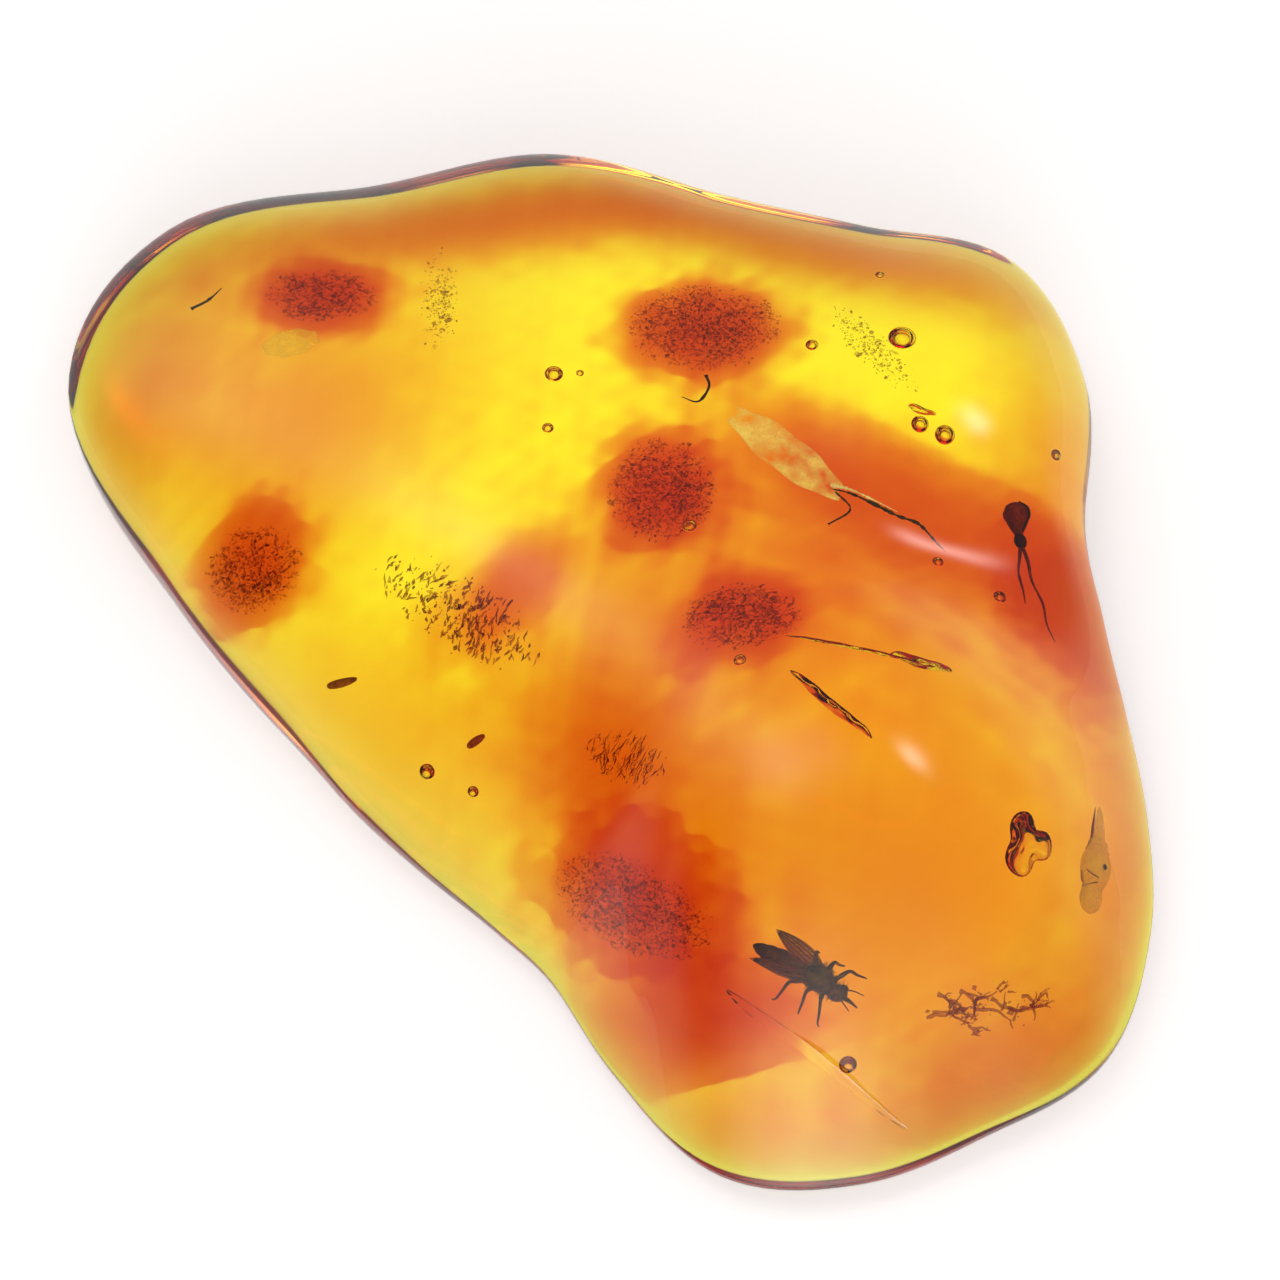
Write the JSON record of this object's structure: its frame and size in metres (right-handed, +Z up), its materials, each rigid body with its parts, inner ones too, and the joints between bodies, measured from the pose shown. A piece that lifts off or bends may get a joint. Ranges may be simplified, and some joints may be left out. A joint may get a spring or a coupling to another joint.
{
  "type": "insect in amber",
  "caption": "Polished nugget of clear yellow amber with a small insect, a pale larva, rust-brown clots of plant dust, pellets and hairs sealed inside, lying on its flat underside.",
  "frame": {"origin": "on the surface that the nugget lies on, under the middle of its bounding box", "axes": "+Z up; the nugget's long left body points to -X and +Y, its thick lobe to +X and -Y, and the picture looks along +Y from above"},
  "size_m": [0.0323, 0.0343, 0.0079],
  "materials": {
    "amber": "polished clear fossil resin",
    "rust_dust": "matte, grainy",
    "pellet": "matte",
    "pale_skin": "thin, half clear",
    "plant_hair": "matte",
    "chitin": "satin"
  },
  "bodies": {
    "root": {"amber_upper": "amber", "amber_lower": "amber", "rust_clot_far_left": "rust_dust", "rust_clot_far": "rust_dust", "rust_clot_centre": "rust_dust", "rust_clot_left": "rust_dust", "rust_clot_middle": "rust_dust", "rust_clot_near": "rust_dust", "crackle_swarm": "rust_dust", "needle_fan": "rust_dust", "root_veins": "rust_dust", "speck_band": "rust_dust", "speck_trail": "rust_dust", "pellet_long": "pellet", "pellet_short": "pellet", "pale_film": "pale_skin", "curled_hair": "plant_hair", "straight_hair": "plant_hair", "insect": "chitin", "pale_larva": "pale_skin", "gnat_remains": "chitin"}
  },
  "joints": []
}
